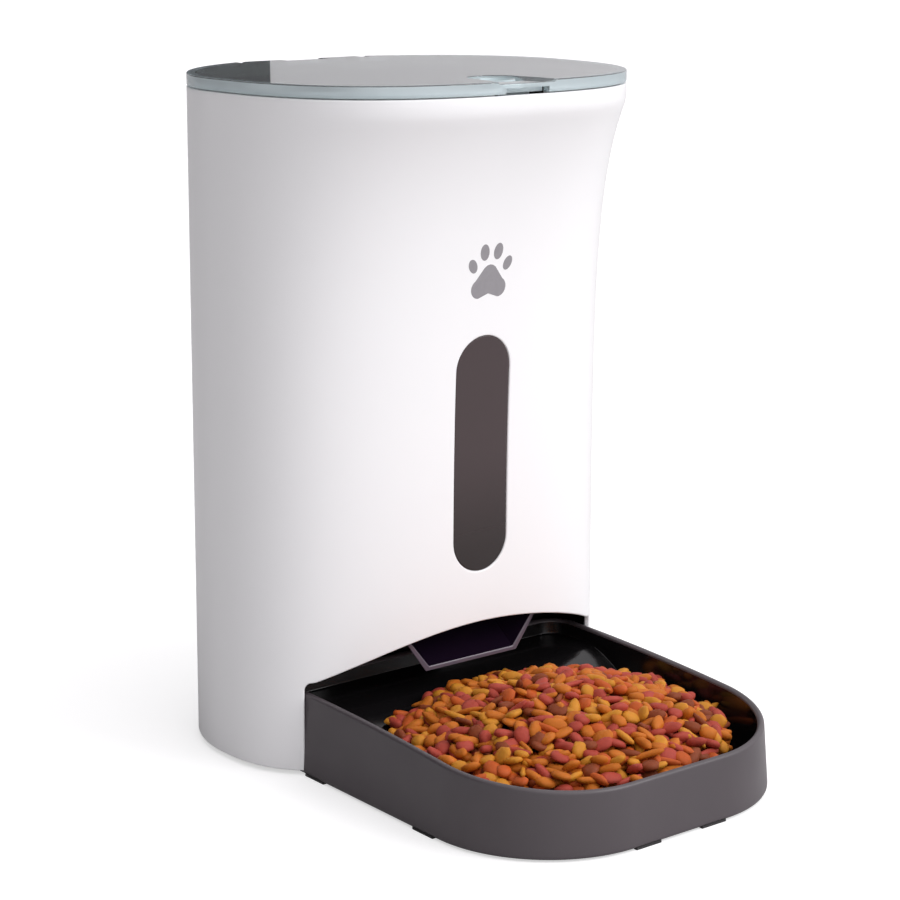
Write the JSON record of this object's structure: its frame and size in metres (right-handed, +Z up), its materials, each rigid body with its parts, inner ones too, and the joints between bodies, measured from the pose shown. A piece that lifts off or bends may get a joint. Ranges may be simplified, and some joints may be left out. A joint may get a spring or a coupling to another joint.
{
  "type": "automatic pet feeder",
  "caption": "Tall moulded feeder for dry pet food with a clear hinged lid, a motor-driven paddle rotor, a chute and a slide-out bowl tray.",
  "frame": {"origin": "on the floor, under the middle of the bounding box", "axes": "+Z up, front of the feeder towards -Y, X across; symmetric about X = 0 on the outside"},
  "size_m": [0.204, 0.2824, 0.312],
  "materials": {
    "shell_white": "moulded ABS, satin gloss",
    "base_black": "moulded ABS, fine texture",
    "foot_rubber": "matte",
    "screw_steel": "zinc plated",
    "liner_black": "moulded ABS, polished",
    "chute_smoke": "smoked, polished",
    "sensor_black": "polished",
    "window_smoke": "smoked acrylic, polished",
    "bin_smoke": "smoked, polished",
    "case_black": "moulded",
    "bush_bronze": "sintered",
    "gearbox_grey": "moulded",
    "motor_steel": "drawn can",
    "cell_wrap": "printed film",
    "contact_nickel": "nickel plated",
    "jack_black": "moulded",
    "deck_black": "polished",
    "display_glass_back": "reflective liquid crystal panel",
    "display_lens": "clear",
    "board_green": "solder mask",
    "switch_black": "moulded",
    "mic_metal": "plain",
    "speaker_black": "pressed frame and paper cone",
    "lead_red": "insulated wire",
    "pin_steel": "ground",
    "lid_clear": "clear acrylic, polished",
    "gasket_silicone": "soft silicone",
    "spring_steel": "wire",
    "latch_teal": "translucent tint, polished",
    "bowl_charcoal": "moulded ABS, satin",
    "rotor_white": "moulded acetal",
    "vane_silicone": "soft silicone",
    "gear_acetal": "moulded acetal",
    "pinion_brass": "cut",
    "key_grey": "silicone keypad"
  },
  "bodies": {
    "housing": {"housing_shell": "shell_white", "base_plate": "base_black", "rubber_feet": "foot_rubber", "base_screws": "screw_steel", "alcove_liner": "liner_black", "chute": "chute_smoke", "chute_sensors": "sensor_black", "window_lens": "window_smoke", "food_bin": "bin_smoke", "latch_strike": "bin_smoke", "rotor_housing": "case_black", "drum_cradle": "case_black", "shaft_bushes": "bush_bronze", "gearbox_plate": "gearbox_grey", "gearbox_cover": "gearbox_grey", "gearbox_screws": "screw_steel", "motor": "motor_steel", "battery_box": "case_black", "battery_cells": "cell_wrap", "battery_contacts": "contact_nickel", "power_jack": "jack_black", "control_deck": "deck_black", "display_module": "display_glass_back", "display_lens": "display_lens", "main_board": "board_green", "tact_switches": "switch_black", "microphone": "mic_metal", "speaker": "speaker_black", "wiring": "lead_red", "hinge_bracket": "shell_white", "hinge_pin": "pin_steel"},
    "lid": {"lid_panel": "lid_clear", "lid_gasket": "gasket_silicone", "latch_spring": "spring_steel"},
    "latch": {"lid_latch": "latch_teal"},
    "bowl": {"bowl_tray": "bowl_charcoal", "bowl_feet": "foot_rubber"},
    "rotor": {"rotor_hub": "rotor_white", "rotor_vanes": "vane_silicone", "drive_shaft": "pin_steel", "drive_gear": "gear_acetal"},
    "idler": {"idler_gear": "gear_acetal"},
    "pinion": {"motor_pinion": "pinion_brass"},
    "door": {"battery_door": "base_black"},
    "key_menu": {"key_menu": "key_grey"},
    "key_record": {"key_record": "key_grey"},
    "key_down": {"key_down": "key_grey"},
    "key_up": {"key_up": "key_grey"},
    "key_enter": {"key_enter": "key_grey"}
  },
  "joints": [
    {"name": "lid_hinge", "type": "hinge", "parent": "housing", "child": "lid", "pos_m": [0, 0.13575, 0.3067], "axis": [-1, 0, 0], "range_deg": [0, 100]},
    {"name": "latch_slide", "type": "slide", "parent": "lid", "child": "latch", "axis": [0, 1, 0], "range_m": [0, 0.0034], "stiffness_N_per_m": 400, "springref_m": -0.002, "deforming": ["latch_spring"]},
    {"name": "bowl_slide", "type": "slide", "parent": "housing", "child": "bowl", "axis": [0, -1, 0], "range_m": [0, 0.16]},
    {"name": "rotor_spin", "type": "hinge", "parent": "housing", "child": "rotor", "pos_m": [0, 0.05575, 0.104], "axis": [1, 0, 0], "continuous": true},
    {"name": "idler_spin", "type": "hinge", "parent": "housing", "child": "idler", "pos_m": [0, 0.08675, 0.104], "axis": [1, 0, 0], "continuous": true},
    {"name": "pinion_spin", "type": "hinge", "parent": "housing", "child": "pinion", "pos_m": [0, 0.10759, 0.09428], "axis": [1, 0, 0], "continuous": true},
    {"name": "battery_door_slide", "type": "slide", "parent": "housing", "child": "door", "axis": [0, 1, 0], "range_m": [0, 0.035]},
    {"name": "key_menu_press", "type": "slide", "parent": "housing", "child": "key_menu", "axis": [0, 0, -1], "range_m": [0, 0.001], "stiffness_N_per_m": 600, "springref_m": -0.0008},
    {"name": "key_record_press", "type": "slide", "parent": "housing", "child": "key_record", "axis": [0, 0, -1], "range_m": [0, 0.001], "stiffness_N_per_m": 600, "springref_m": -0.0008},
    {"name": "key_down_press", "type": "slide", "parent": "housing", "child": "key_down", "axis": [0, 0, -1], "range_m": [0, 0.001], "stiffness_N_per_m": 600, "springref_m": -0.0008},
    {"name": "key_up_press", "type": "slide", "parent": "housing", "child": "key_up", "axis": [0, 0, -1], "range_m": [0, 0.001], "stiffness_N_per_m": 600, "springref_m": -0.0008},
    {"name": "key_enter_press", "type": "slide", "parent": "housing", "child": "key_enter", "axis": [0, 0, -1], "range_m": [0, 0.001], "stiffness_N_per_m": 600, "springref_m": -0.0008}
  ],
  "couplings": [
    {"joint": "idler_spin", "follows": "rotor_spin", "ratio": -3.4286},
    {"joint": "pinion_spin", "follows": "rotor_spin", "ratio": 12.343}
  ]
}
